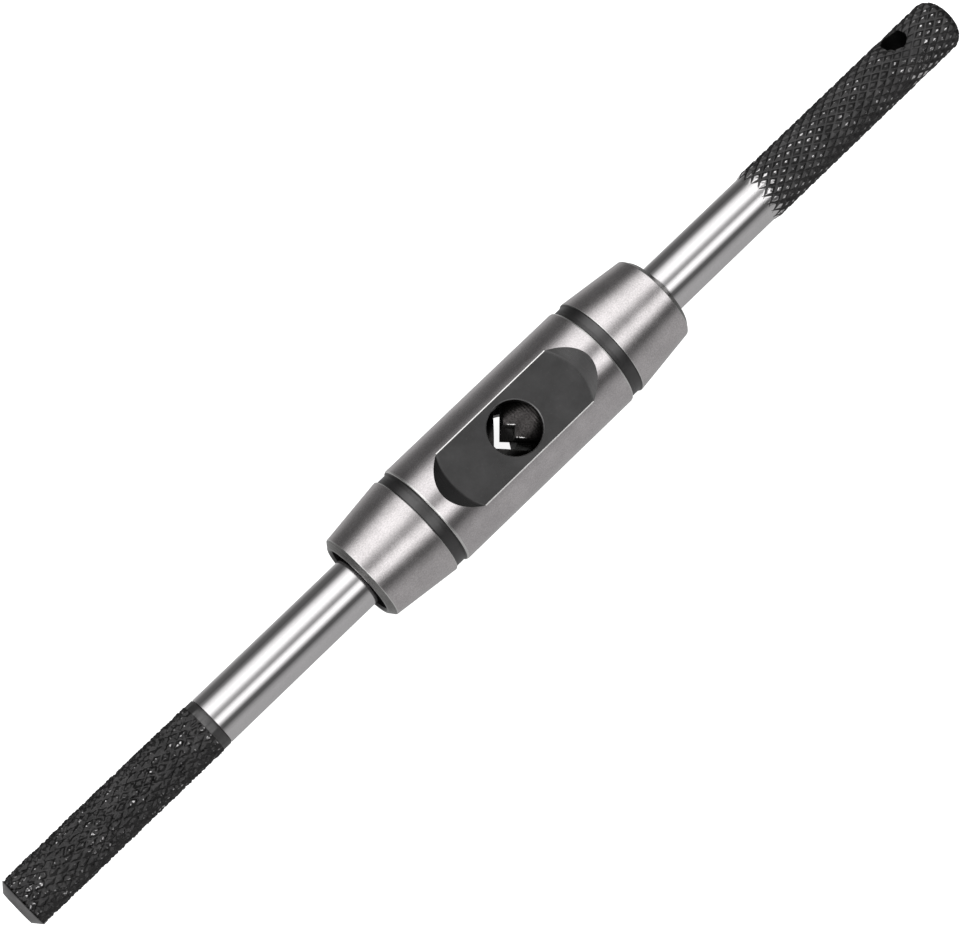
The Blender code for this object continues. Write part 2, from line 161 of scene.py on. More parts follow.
BODY_SEGMENTS = 192
JAW_SEGMENTS = 128
ROD_SEGMENTS = 160
HOLE_SEGMENTS = 96
SMALL_SEGMENTS = 64
KNURL_SEGMENTS = KNURL_STARTS * KNURL_STEPS
THREAD_STEPS = 12                # mesh rows in one turn of the thread

OUTSIDE = 10 * MM                # clear of the body, for the ends of its cutters
OUTSIDE_JAW = 8 * MM             # clear of the jaws, for the ends of theirs


# ---------------------------------------------------------------- materials

def node(tree, kind, **settings):
    made = tree.nodes.new(kind)
    for name, value in settings.items():
        if name in made.inputs:
            made.inputs[name].default_value = value
        else:
            setattr(made, name, value)
    return made


def ramp(tree, source, stops):
    """A colour ramp over source; stops are (position, grey or colour)."""
    made = tree.nodes.new("ShaderNodeValToRGB")
    elements = made.color_ramp.elements
    while len(elements) < len(stops):
        elements.new(0.5)
    for element, (position, colour) in zip(elements, stops):
        element.position = position
        if not isinstance(colour, tuple):
            colour = (colour, colour, colour)
        element.color = (*colour, 1.0)
    tree.links.new(source, made.inputs["Fac"])
    return made.outputs["Color"]


def maths(tree, operation, a, b=None, c=None):
    """The result of a Math node on values that are sockets or numbers."""
    made = tree.nodes.new("ShaderNodeMath")
    made.operation = operation
    for socket, value in zip(made.inputs, (a, b, c)):
        if value is None:
            continue
        if isinstance(value, (int, float)):
            socket.default_value = value
        else:
            tree.links.new(value, socket)
    return made.outputs[0]


def weighted(tree, a, a_share, b, b_share):
    """The weighted sum of two levels."""
    return maths(tree, "ADD", maths(tree, "MULTIPLY", a, a_share),
                 maths(tree, "MULTIPLY", b, b_share))


def mix(tree, factor, a, b):
    """Mix of two colours, each a socket or a tuple."""
    made = tree.nodes.new("ShaderNodeMix")
    made.data_type = "RGBA"
    factor_socket, a_socket, b_socket = made.inputs[0], made.inputs[6], made.inputs[7]
    for socket, value in ((factor_socket, factor), (a_socket, a), (b_socket, b)):
        if isinstance(value, tuple):
            socket.default_value = (*value, 1.0)
        elif isinstance(value, (int, float)):
            socket.default_value = value
        else:
            tree.links.new(value, socket)
    return made.outputs[2]      # the colour, after the float and vector results


def noise(tree, vector, scale, detail=3.0, roughness=0.6):
    made = node(tree, "ShaderNodeTexNoise", Scale=scale, Detail=detail, Roughness=roughness)
    tree.links.new(vector, made.inputs["Vector"])
    return made.outputs["Fac"]


def stretched(tree, vector, scale):
    """The coordinates times a scale for each axis."""
    made = node(tree, "ShaderNodeMapping")
    made.inputs["Scale"].default_value = scale
    tree.links.new(vector, made.inputs["Vector"])
    return made.outputs["Vector"]


def bump(tree, height, strength, distance):
    made = node(tree, "ShaderNodeBump", Strength=strength, Distance=distance)
    tree.links.new(height, made.inputs["Height"])
    return made.outputs["Normal"]


def start_material(name, metallic):
    """A new material, its tree, its shader and its object coordinates."""
    material = bpy.data.materials.new(name)
    material.use_nodes = True
    tree = material.node_tree
    shader = tree.nodes["Principled BSDF"]
    shader.inputs["Metallic"].default_value = metallic
    coordinates = tree.nodes.new("ShaderNodeTexCoord").outputs["Object"]
    return material, tree, shader, coordinates


def turned_steel(name, colour, low, high, line_pitch, line_strength, mottle=0.12,
                 metallic=1.0, scoring=0.2):
    """Bare steel with fine marks that run round the X axis.

    low and high bound the roughness. line_pitch is the spacing of the marks, mottle is how
    uneven the colour is and scoring is how far the deepest marks are darkened.
    """
    material, tree, shader, where = start_material(name, metallic)
    lines = noise(tree, stretched(tree, where, (1 / line_pitch, 60, 60)), 1.0, 4.0, 0.7)
    blotches = noise(tree, where, 240.0, 5.0, 0.65)
    grain = noise(tree, where, 4200.0, 2.0, 0.5)
    dark = tuple(channel * (1 - mottle) for channel in colour)
    light = tuple(min(1.0, channel * (1 + mottle * 0.5)) for channel in colour)
    tone = ramp(tree, weighted(tree, blotches, 0.5, grain, 0.5), [(0.38, dark), (0.62, light)])
    scored = maths(tree, "MULTIPLY", ramp(tree, lines, [(0.55, 0.0), (0.75, 1.0)]), scoring)
    tree.links.new(mix(tree, scored, tone, dark), shader.inputs["Base Color"])
    spread = weighted(tree, lines, 0.6, blotches, 0.4)
    tree.links.new(ramp(tree, spread, [(0.3, low), (0.7, high)]), shader.inputs["Roughness"])
    height = maths(tree, "ADD", lines, maths(tree, "MULTIPLY", grain, 0.8))
    tree.links.new(bump(tree, height, line_strength, 0.01 * MM), shader.inputs["Normal"])
    return material


def black_oxide(name, base, rough, marks, strength=0.3):
    """Blackened steel, slightly cloudy, with fine tool marks along the given stretch."""
    material, tree, shader, where = start_material(name, 1.0)
    clouds = noise(tree, where, 260.0, 5.0, 0.65)
    lines = noise(tree, stretched(tree, where, marks), 1.0, 3.0, 0.6)
    specks = noise(tree, where, 3200.0, 2.0, 0.5)
    tone = ramp(tree, clouds, [(0.3, (base * 0.85, base * 0.84, base * 0.84)),
                               (0.7, (base * 1.15, base * 1.13, base * 1.14))])
    flecks = mix(tree, ramp(tree, specks, [(0.66, 0.0), (0.80, 0.35)]), tone,
                 (base * 2.2, base * 2.15, base * 2.1))
    tree.links.new(flecks, shader.inputs["Base Color"])
    tree.links.new(ramp(tree, lines, [(0.3, rough * 0.85), (0.7, rough * 1.15)]),
                   shader.inputs["Roughness"])
    height = maths(tree, "ADD", lines, maths(tree, "MULTIPLY", specks, 0.5))
    tree.links.new(bump(tree, height, strength, 0.02 * MM), shader.inputs["Normal"])
    return material


def stretch(tree, place, start, end, first, last):
    """A level that runs from first at one place to last at another."""
    made = node(tree, "ShaderNodeMapRange")
    tree.links.new(place, made.inputs["Value"])
    for socket, value in zip(("From Min", "From Max", "To Min", "To Max"),
                             (start, end, first, last)):
        made.inputs[socket].default_value = value
    return made.outputs["Result"]


RUBBED_STEEL = (0.79, 0.775, 0.78)


def knurl_steel(name, base, crest, worn, bare_from, band, run_out=None):
    """Blackened knurling, rubbed bright on patches of its flat-topped points.

    crest is the radius of the tops. worn lists stretches of X, as (start, end, first,
    last), over which the share of bare tops changes, and bare_from is the level of the
    noise above which they are bare elsewhere. band is how far below the crest a top can
    be and still be rubbed. run_out, where given, is the stretch of X over which the tops
    climb from a bare rod.
    """
    material, tree, shader, where = start_material(name, 1.0)
    clouds = noise(tree, where, 300.0, 4.0, 0.65)
    patches = noise(tree, where, 330.0, 2.0, 0.5)
    specks = noise(tree, where, 2400.0, 2.0, 0.6)
    black = ramp(tree, clouds, [(0.3, (base * 0.75, base * 0.74, base * 0.75)),
                                (0.7, (base * 1.25, base * 1.22, base * 1.23))])
    off_axis = stretched(tree, where, (0, 1, 1))
    distance = tree.nodes.new("ShaderNodeVectorMath")
    distance.operation = "LENGTH"
    tree.links.new(off_axis, distance.inputs[0])
    rubbed = ramp(tree, weighted(tree, patches, 0.6, specks, 0.4),
                  [(bare_from, 0.0), (bare_from + 0.06, 1.0)])
    parts = node(tree, "ShaderNodeSeparateXYZ")
    tree.links.new(where, parts.inputs[0])
    for limits in worn:
        rubbed = maths(tree, "MAXIMUM", rubbed, stretch(tree, parts.outputs["X"], *limits))
    if run_out is not None:
        crest = stretch(tree, parts.outputs["X"], *run_out, ROD_RADIUS, crest)
    below = maths(tree, "SUBTRACT", crest, distance.outputs["Value"])
    top = ramp(tree, maths(tree, "DIVIDE", below, band), [(0.24, 1.0), (1.0, 0.0)])
    bare = maths(tree, "MULTIPLY", top, rubbed)
    tree.links.new(mix(tree, bare, black, RUBBED_STEEL), shader.inputs["Base Color"])
    tree.links.new(ramp(tree, bare, [(0.0, 0.42), (1.0, 0.11)]), shader.inputs["Roughness"])
    tree.links.new(bump(tree, specks, 0.35, 0.04 * MM), shader.inputs["Normal"])
    return material


def glint_edge(name):
    """Bright steel for a painted glint along an edge, with dark nicks."""
    material, tree, shader, where = start_material(name, 1.0)
    nicks = ramp(tree, noise(tree, where, 2600.0), [(0.42, 0.0), (0.55, 1.0)])
    tree.links.new(mix(tree, nicks, (0.10, 0.098, 0.096), (0.90, 0.89, 0.88)),
                   shader.inputs["Base Color"])
    tree.links.new(ramp(tree, nicks, [(0.0, 0.5), (1.0, 0.3)]), shader.inputs["Roughness"])
    return material


GROUND = turned_steel("ground_steel", (0.685, 0.653, 0.660), 0.15, 0.22, 0.05 * MM, 0.25, 0.15)
FROSTED = turned_steel("cone_steel", (0.683, 0.651, 0.655), 0.17, 0.26, 0.06 * MM, 0.35, 0.16)
CHAMFER = turned_steel("chamfer_steel", (0.30, 0.295, 0.29), 0.22, 0.34, 0.08 * MM, 0.5, 0.25)
POLISHED = turned_steel("rod_steel", (0.775, 0.758, 0.765), 0.09, 0.13, 0.05 * MM, 0.08, 0.04)
# Brighter than the ground steel: bare edges with a painted highlight along them.
EDGE_HIGHLIGHT = turned_steel("edge_highlight_steel", (0.85, 0.84, 0.83), 0.20, 0.30, 0.05 * MM, 0.1)
JAW = turned_steel("jaw_steel", (0.084, 0.078, 0.077), 0.30, 0.45, 0.22 * MM, 0.5, 0.6,
                   scoring=1.0)
FIXED_JAW = turned_steel("fixed_jaw_steel", (0.035, 0.034, 0.033), 0.35, 0.50, 0.12 * MM, 0.5,
                         0.4)
# Near black and barely reflective: painted shade on the jaws' flanks and cut faces deep in the
# bore.
JAW_FLANK_SHADE = turned_steel("jaw_flank_shade", (0.010, 0.010, 0.010), 0.55, 0.70, 0.3 * MM, 0.3, 0.3,
                         metallic=0.0)
JAW_FLANK_SHADE.node_tree.nodes["Principled BSDF"].inputs["Specular IOR Level"].default_value = 0.1
# Painted glint for the moving jaw's upper edges.
JAW_GLINT = glint_edge("jaw_glint")
# Darker and less metallic than the jaw: painted shade on the notch, the key slot and the pin
# holes.
JAW_FACE_SHADE = turned_steel("jaw_face_shade", (0.045, 0.043, 0.042), 0.45, 0.60, 0.3 * MM, 0.3, 0.3,
                        metallic=0.2)
BUSH = turned_steel("bush_steel", (0.22, 0.215, 0.21), 0.25, 0.40, 0.10 * MM, 0.4)
PIN = turned_steel("pin_steel", (0.42, 0.42, 0.43), 0.20, 0.32, 0.05 * MM, 0.2)
BLACK_WINDOW = black_oxide("window_black", 0.096, 0.30, (150, 150, 9000))
BLACK_GROOVE = black_oxide("groove_black", 0.115, 0.34, (9000, 60, 60), 0.5)
# Black oxide darkened further as painted shade inside the holes; in the key's driver slot it
# is painted shade alone.
BLACK_HOLE_SHADE = black_oxide("hole_black_shade", 0.035, 0.45, (400, 400, 9000))
BLACK_RIM = black_oxide("rim_black", 0.30, 0.30, (400, 400, 9000))
BLACK_SMOOTH = black_oxide("sleeve_black", 0.15, 0.42, (9000, 80, 80))
BLACK_END = black_oxide("sleeve_end_black", 0.30, 0.42, (9000, 80, 80))
KNURL_LEFT = knurl_steel("knurl_black_left", 0.066, SLEEVE_RADIUS, [
    (SLEEVE_COLLAR_X - 1.0 * MM, SLEEVE_COLLAR_X - 0.5 * MM, 0.0, 1.0),
    (SLEEVE_OUTER_X + 1.6 * MM, SLEEVE_OUTER_X + 2.8 * MM, 0.8, 0.0)], 0.49, 0.055 * MM)
KNURL_RIGHT = knurl_steel("knurl_black_right", 0.075, GRIP_RADIUS, [
    (RUN_OUT_END + 3.0 * MM, RUN_OUT_END + 9.0 * MM, 1.0, 0.0),
    (HANDLE_END_X - 7.0 * MM, HANDLE_END_X - 6.2 * MM, 0.0, 1.0)],
    0.49, 0.025 * MM, (RUN_OUT_START, RUN_OUT_END))


# ---------------------------------------------------------------- meshes

def finished(name, bm, materials, sharp_degrees=28):
    """An object from a closed bmesh, with outward normals and smooth round faces.

    Edges that bend more than sharp_degrees stay sharp.
    """
    bmesh.ops.recalc_face_normals(bm, faces=bm.faces)
    mesh = bpy.data.meshes.new(name)
    bm.to_mesh(mesh)
    bm.free()
    for material in materials:
        mesh.materials.append(material)
    mesh.shade_smooth()
    mesh.set_sharp_from_angle(angle=math.radians(sharp_degrees))
    obj = bpy.data.objects.new(name, mesh)
    bpy.context.scene.collection.objects.link(obj)
    return obj


def rings_mesh(rows, segments, closed=False, axis="X"):
    """A closed round bmesh from rows of (position, radius, material index).

    A radius is a number or a function of the angles of the ring's points. A row's
    material index is that of the faces between it and the next row.
    """
    bm = bmesh.new()
    angles = np.arange(segments) * TURN / segments
    rings = []
    for position, radius, _ in rows:
        radii = radius(angles) if callable(radius) else np.full(segments, float(radius))
        if not radii.any():
            point = (position, 0, 0) if axis == "X" else (0, 0, position)
            rings.append([bm.verts.new(point)])
            continue
        ring = []
        for angle, r in zip(angles, radii):
            a = r * math.cos(angle)
            b = r * math.sin(angle)
            ring.append(bm.verts.new((position, a, b) if axis == "X" else (a, b, position)))
        rings.append(ring)
    pairs = list(zip(range(len(rings) - 1), range(1, len(rings))))
    if closed:
        pairs.append((len(rings) - 1, 0))
    for this, following in pairs:
        first = rings[this]
        second = rings[following]
        for i in range(segments):
            j = (i + 1) % segments
            corners = [first[i % len(first)], first[j % len(first)],
                       second[j % len(second)], second[i % len(second)]]
            unique = list(dict.fromkeys(corners))
            if len(unique) > 2:
                face = bm.faces.new(unique)
                face.material_index = rows[this][2]
    return bm


def arc(centre_x, centre_radius, size, start, end, material, steps):
    """Rows on a rounded edge, from angle start to end in degrees."""
    rows = []
    for step in range(steps + 1):
        angle = math.radians(start + (end - start) * step / steps)
        rows.append((centre_x + size * math.cos(angle),
                     centre_radius + size * math.sin(angle), material))
    return rows


def subtract(obj, cutters):
    """Cuts the cutters out of obj, applies the result and removes them."""
    for cutter in cutters:
        modifier = obj.modifiers.new(cutter.name, "BOOLEAN")
        modifier.operation = "DIFFERENCE"
        modifier.solver = "EXACT"
        modifier.material_mode = "TRANSFER"
        modifier.object = cutter
    bpy.context.view_layer.update()
    depsgraph = bpy.context.evaluated_depsgraph_get()
    result = bpy.data.meshes.new_from_object(obj.evaluated_get(depsgraph))
    obj.modifiers.clear()
    old = obj.data
    obj.data = result
    result.name = obj.name
    bpy.data.meshes.remove(old)
    for cutter in cutters:
        bpy.data.objects.remove(cutter)
    return obj


def material_slot(obj, material):
    """The index of the material on obj, added if it isn't there."""
    found = obj.data.materials.find(material.name)
    if found < 0:
        obj.data.materials.append(material)
        found = len(obj.data.materials) - 1
    return found


def block(name, low, high, material, turn=0.0):
    """A box between two corners, turned about the upright line through its low corner."""
    low = Vector(low)
    size = Vector(high) - low
    bm = bmesh.new()
    bmesh.ops.create_cube(bm, size=1.0)
    bmesh.ops.translate(bm, verts=bm.verts, vec=(0.5, 0.5, 0.5))
    bmesh.ops.scale(bm, verts=bm.verts, vec=size)
    bmesh.ops.rotate(bm, verts=bm.verts, cent=(0, 0, 0), matrix=Matrix.Rotation(turn, 3, "Z"))
    bmesh.ops.translate(bm, verts=bm.verts, vec=low)
    return finished(name, bm, [material])


def lofted(name, sections, material, sharp_degrees=28):
    """A closed object through cross-sections, each a list of as many (x, y, z) points."""
    bm = bmesh.new()
    rings = [[bm.verts.new(point) for point in section] for section in sections]
    bm.faces.new(rings[0])
    bm.faces.new(rings[-1])
    for first, second in zip(rings, rings[1:]):
        for i in range(len(first)):
            j = (i + 1) % len(first)
            bm.faces.new([first[i], first[j], second[j], second[i]])
    return finished(name, bm, [material], sharp_degrees)


def plan_block(name, outline, low_z, high_z, material):
    """An upright block over a plan outline of (x, y) points."""
    return lofted(name, [[(x, y, z) for x, y in outline] for z in (low_z, high_z)], material)


def post(name, radius, x, y, low_z, high_z, material, chamfer=0.0):
    """An upright round post, with chamfered ends if asked."""
    rows = [(low_z, 0, 0), (low_z, radius - chamfer, 0)]
    if chamfer:
        rows += [(low_z + chamfer, radius, 0), (high_z - chamfer, radius, 0)]
    rows += [(high_z, radius - chamfer, 0), (high_z, 0, 0)]
    bm = rings_mesh(rows, SMALL_SEGMENTS, axis="Z")
    bmesh.ops.translate(bm, verts=bm.verts, vec=(x, y, 0))
    return finished(name, bm, [material])


# ---------------------------------------------------------------- body

def window_cutter(side):
    """Sweep of a cone-sided cutter along X, over the window's flat.

    side is 1 for the upper window and -1 for the lower one. The flat runs into the
    sloping wall through a small blend.
    """
    height = 3 * MM
    blend = 0.3 * MM
    steps = 6
    slant = math.hypot(1.0, WINDOW_WALL_RUN)
    rings = []
    for step in range(steps + 1):
        share = step / steps
        inward = blend * (share ** 2 * WINDOW_WALL_RUN / slant - (1 - share) ** 2)
        rings.append((WINDOW_CUTTER_RADIUS + inward, blend * share ** 2 / slant))
    rings.append((WINDOW_CUTTER_RADIUS + WINDOW_WALL_RUN * height, height))
    bm = bmesh.new()
    for end in (-1, 1):
        for radius, z in rings:
            for step in range(BODY_SEGMENTS):
                angle = TURN * step / BODY_SEGMENTS
                bm.verts.new((end * WINDOW_CUTTER_TRAVEL + radius * math.cos(angle),
                              radius * math.sin(angle), side * (WINDOW_FLAT_HEIGHT + z)))
    hull = bmesh.ops.convex_hull(bm, input=bm.verts)
    inside = [item for item in hull["geom_interior"] if isinstance(item, bmesh.types.BMVert)]
    bmesh.ops.delete(bm, geom=inside, context="VERTS")
    return finished("window_cutter", bm, [BLACK_WINDOW])


def window_edge_cutters(side):
    """Wedges that break the window's two long edges, on the +Y hand and on the -Y hand, faced
    with a painted highlight.

    inset is how far in from the edge each wedge starts, and slope is how steeply it falls.
    """
    cutters = []
    level = WINDOW_FLAT_HEIGHT
    reach = 4 * MM
    half_length = WINDOW_CUTTER_TRAVEL + math.sqrt(
        WINDOW_CUTTER_RADIUS ** 2 - WINDOW_HALF_WIDTH ** 2)
    for hand, inset, slope in ((1, 0.085 * MM, 0.325), (-1, 0.10 * MM, 0.305)):
        inner = WINDOW_HALF_WIDTH - inset
        section = [(inner, level), (inner, level + reach), (inner + reach, level + reach),
                   (inner + reach, level - slope * reach)]
        ends = [[(x, hand * y, side * z) for y, z in section]
                for x in (-half_length, half_length)]
        cutters.append(lofted("window_edge_cutter", ends, EDGE_HIGHLIGHT))
    return cutters


def tap_hole_cutter():
    """The tap hole, slightly countersunk at both windows."""
    mouth = 0.15 * MM
    top = WINDOW_FLAT_HEIGHT
    wall, rim = 0, 1
    rows = [(-OUTSIDE, 0, wall), (-OUTSIDE, TAP_HOLE_RADIUS + mouth, wall),
            (-top, TAP_HOLE_RADIUS + mouth, rim), (-top + mouth, TAP_HOLE_RADIUS, wall),
            (top - mouth, TAP_HOLE_RADIUS, rim), (top, TAP_HOLE_RADIUS + mouth, wall),
            (OUTSIDE, TAP_HOLE_RADIUS + mouth, wall), (OUTSIDE, 0, wall)]
    return finished("tap_hole_cutter", rings_mesh(rows, HOLE_SEGMENTS, axis="Z"),
                    [BLACK_HOLE_SHADE, BLACK_RIM])


def make_body():
    """A lathe profile of the left half, mirrored, then the windows and holes."""
    # The edge faces carry a painted highlight along the body's corners.
    ground, cone, black, edge, chamfer = 0, 1, 2, 3, 4
    line = 0.10 * MM
    slope = (CONE_LARGE_RADIUS - CONE_SMALL_RADIUS) / (CONE_END_X - GROOVE_OUTER_X)
    wide = CONE_LARGE_RADIUS - 0.03 * MM
    # From the body's left end to its middle: end chamfer, cone, groove, barrel.
    left = [(-BODY_HALF_LENGTH, BODY_FACE_RADIUS - 0.04 * MM, chamfer),
            (-BODY_HALF_LENGTH + 0.05 * MM, BODY_FACE_RADIUS + 0.06 * MM, chamfer),
            (-CONE_END_X - 0.05 * MM, CONE_SMALL_RADIUS - 0.06 * MM, edge),
            (-CONE_END_X, CONE_SMALL_RADIUS - 0.02 * MM, edge),
            (-CONE_END_X + 0.08 * MM, CONE_SMALL_RADIUS + 0.08 * MM * slope, cone),
            (-GROOVE_OUTER_X - line, wide - line * slope, edge),
            (-GROOVE_OUTER_X, wide - 0.06 * MM, black),
            (-GROOVE_OUTER_X + 0.08 * MM, GROOVE_RADIUS + 0.05 * MM, black),
            (-GROOVE_OUTER_X + 0.2 * MM, GROOVE_RADIUS, black)]
    for mark in range(5):
        x = -GROOVE_INNER_X - (0.75 - 0.13 * mark) * MM
        left += [(x, GROOVE_RADIUS, black),
                 (x + 0.065 * MM, GROOVE_RADIUS - 0.022 * MM, black)]
    left += [(-GROOVE_INNER_X - 0.1 * MM, GROOVE_RADIUS + 0.04 * MM, black),
             (-GROOVE_INNER_X - 0.02 * MM, BODY_RADIUS - 0.16 * MM, edge),
             (-GROOVE_INNER_X + 0.06 * MM, BODY_RADIUS - 0.07 * MM, edge),
             (-GROOVE_INNER_X + 0.28 * MM, BODY_RADIUS, ground)]
    # A row's material is that of the faces after it, so the mirrored ones shift by one.
    kinds = [kind for _, _, kind in reversed(left)][1:] + [chamfer]
    right = [(-x, radius, kind) for (x, radius, _), kind in zip(reversed(left), kinds)]
    mouth = 0.3 * MM
    bore = [(BODY_HALF_LENGTH, BORE_RADIUS + mouth, black),
            (BODY_HALF_LENGTH - mouth, BORE_RADIUS, black),
            (-BODY_HALF_LENGTH + mouth, BORE_RADIUS, black),
            (-BODY_HALF_LENGTH, BORE_RADIUS + mouth, chamfer)]
    bm = rings_mesh(left + right + bore, BODY_SEGMENTS, closed=True)
    body = finished("body_shell", bm, [GROUND, FROSTED, BLACK_GROOVE, EDGE_HIGHLIGHT, CHAMFER])
    cutters = [window_cutter(1), window_cutter(-1), tap_hole_cutter()]
    cutters += window_edge_cutters(1) + window_edge_cutters(-1)
    for x in (-LOCK_PIN_X, LOCK_PIN_X):
        cutters.append(post("lock_hole_cutter", LOCK_HOLE_RADIUS, x, 0, -OUTSIDE,
                            BODY_HOLE_TOP_Z, BLACK_GROOVE))
    cutters.append(post("key_hole_cutter", KEY_HOLE_RADIUS, KEY_X, 0, -OUTSIDE,
                        BODY_HOLE_TOP_Z, BLACK_HOLE_SHADE))
    subtract(body, cutters)
    # Low enough to keep the shading of the window's floor flat up to its edges.
    body.data.set_sharp_from_angle(angle=math.radians(8))
    return body


# ---------------------------------------------------------------- jaws

def turning_marks(start, end, radius, pitch, depth, material):
    """Rows of a turned surface with fine feed marks."""
    rows = []
    count = round((end - start) / pitch)
    for step in range(count):
        x = start + (end - start) * step / count
        rows.append((x, radius, material))
        rows.append((x + pitch * 0.5, radius - depth, material))
    rows.append((end, radius, material))
    return rows


def make_fixed_jaw():
    """A round block with a socket in its back and a 90 degree vee in its front."""
    edge = 0.2 * MM
    marks_start = -9 * MM
    rows = [(SCREW_SOCKET_X, 0, 0), (SCREW_SOCKET_X, SCREW_SOCKET_RADIUS, 0),
            (FIXED_JAW_BACK_X, SCREW_SOCKET_RADIUS, 0),
            (FIXED_JAW_BACK_X, JAW_RADIUS - edge, 0), (FIXED_JAW_BACK_X + edge, JAW_RADIUS, 0)]
    rows += turning_marks(marks_start, FIXED_JAW_FRONT_X, JAW_RADIUS, 0.25 * MM, 0.012 * MM, 0)
    rows += [(FIXED_JAW_FRONT_X, 0, 0)]
    jaw = finished("fixed_jaw_block", rings_mesh(rows, JAW_SEGMENTS), [FIXED_JAW])
    size = 14 * MM
    vee = block("fixed_vee_cutter", (FIXED_VEE_X, 0, -OUTSIDE_JAW),
                (FIXED_VEE_X + size, size, OUTSIDE_JAW), JAW_FLANK_SHADE, turn=-math.pi / 4)
    seat = post("seat_cutter", LOCK_HOLE_RADIUS, -LOCK_PIN_X, 0, -OUTSIDE_JAW,
                LOCK_SEAT_TOP_Z, JAW_FLANK_SHADE)
    subtract(jaw, [vee, seat])
    return jaw


def glint_strip(start, end, rise):
    """A narrow bright facet along an upper edge of the jaw, a painted glint.

    It runs between two (x, y) points and rises by rise from the edge inwards.
    """
    width = 0.15 * MM
    thickness = 0.1 * MM
    steps = 12
    sections = []
    for step in range(steps + 1):
        share = step / steps
        x = start[0] + (end[0] - start[0]) * share
        y = start[1] + (end[1] - start[1]) * share
        z = math.sqrt(JAW_RADIUS ** 2 - y ** 2) + 0.02 * MM
        ragged = 0.75 + 0.25 * math.sin(step * 2.1)
        inward = width * math.sqrt(0.5) * ragged
        sections.append([(x, y, z), (x + inward, y + inward, z + rise),
                         (x + inward, y + inward, z - thickness), (x, y, z - thickness)])
    return lofted("glint_strip", sections, JAW_GLINT, sharp_degrees=20)


def add_to(obj, others):
    """Adds the others' meshes to obj, each with its one material, and removes them."""
    bm = bmesh.new()
    bm.from_mesh(obj.data)
    for other in others:
        slot = material_slot(obj, other.data.materials[0])
        known = len(bm.faces)
        bm.from_mesh(other.data)
        bm.faces.ensure_lookup_table()
        for face in bm.faces[known:]:
            face.material_index = slot
        bpy.data.objects.remove(other)
    bm.to_mesh(obj.data)
    bm.free()


def nose_flank(tip_x, side, low_z, high_z, name):
    """A cutter for the slanting flank on one side of the nose, from a tip at tip_x."""
    reach = 8 * MM
    middle = NOSE_OFF_CENTRE
    outer = middle + side * reach
    outline = [(tip_x - reach, middle), (tip_x, middle), (tip_x + reach, outer),
               (tip_x - reach, outer)]
    return plan_block(name, outline, low_z, high_z, JAW_FLANK_SHADE)


def make_moving_jaw():
    """A round block with a pointed nose, a notch, a relieved heel and its sockets."""
    start = NOSE_TIP_X - 1 * MM
    edge = 0.3 * MM
    rows = [(start, 0, 0)]
    rows += turning_marks(start, MOVING_JAW_BACK_X - edge, JAW_RADIUS, 0.40 * MM, 0.016 * MM,
                          0)
    rows += [(MOVING_JAW_BACK_X, JAW_RADIUS - edge, 0), (MOVING_JAW_BACK_X, SOCKET_RADIUS, 0),
             (SOCKET_FLOOR_X, SOCKET_RADIUS, 0), (SOCKET_FLOOR_X, 0, 0)]
    jaw = finished("moving_jaw_block", rings_mesh(rows, JAW_SEGMENTS), [JAW], sharp_degrees=4)
    cutters = [nose_flank(NOSE_TIP_X, 1, -OUTSIDE_JAW, OUTSIDE_JAW, "flank_cutter"),
               nose_flank(NOSE_TIP_X, -1, NOSE_PLATE_BOTTOM_Z, OUTSIDE_JAW, "flank_cutter"),
               nose_flank(NOSE_TIP_X - NOSE_HEEL_FULLNESS, -1, -OUTSIDE_JAW,
                          NOSE_PLATE_BOTTOM_Z, "heel_cutter")]
    size = 4 * MM
    cutters.append(block("notch_cutter", (NOTCH_VEE_X, NOSE_OFF_CENTRE, NOTCH_FLOOR_Z),
                         (NOTCH_VEE_X + size, size, OUTSIDE_JAW), JAW_FACE_SHADE, math.radians(135)))
    depth = 6 * MM
    relief = [(NOSE_HEEL_X, 0), (NOSE_RELIEF_X, 0), (NOSE_RELIEF_X, depth), (-depth, depth),
              (-depth, -depth), (NOSE_HEEL_X - NOSE_HEEL_SLOPE * depth, -depth)]
    cutters.append(plan_block("relief_cutter", relief, -OUTSIDE_JAW, NOSE_PLATE_BOTTOM_Z,
                              JAW_FLANK_SHADE))
    cutters.append(block("slot_cutter", (KEY_SLOT_START_X, -KEY_SLOT_HALF_WIDTH, -OUTSIDE_JAW),
                         (MOVING_JAW_BACK_X + 1 * MM, KEY_SLOT_HALF_WIDTH, KEY_SLOT_FLOOR_Z),
                         JAW_FACE_SHADE))
    for y in (PIN_Y, -PIN_Y):
        cutters.append(post("pin_hole_cutter", PIN_RADIUS + 0.02 * MM, PIN_X, y, -OUTSIDE_JAW,
                            OUTSIDE_JAW, JAW_FACE_SHADE))
    subtract(jaw, cutters)
    # The two strips below are painted glints on the jaw's upper edges.
    length = 0.85 * MM
    notch_side = glint_strip((NOTCH_VEE_X - length, NOSE_OFF_CENTRE + length),
                              (NOTCH_VEE_X, NOSE_OFF_CENTRE), 0.03 * MM)
    # Where the notch's -Y side meets the nose's flank, and on along the flank.
    corner = (NOSE_TIP_X + NOTCH_VEE_X) / 2
    down = NOSE_OFF_CENTRE - (corner - NOSE_TIP_X)
    near, far = 0.1 * MM, 1.1 * MM
    flank_side = glint_strip((corner + near, down - near), (corner + far, down - far),
                              0.01 * MM)
    add_to(jaw, [notch_side, flank_side])
    return jaw


# ---------------------------------------------------------------- handles

def triangle_wave(phase):
    """0 at whole numbers, 1 half way between."""
    return 1 - np.abs(2 * (phase - np.floor(phase)) - 1)


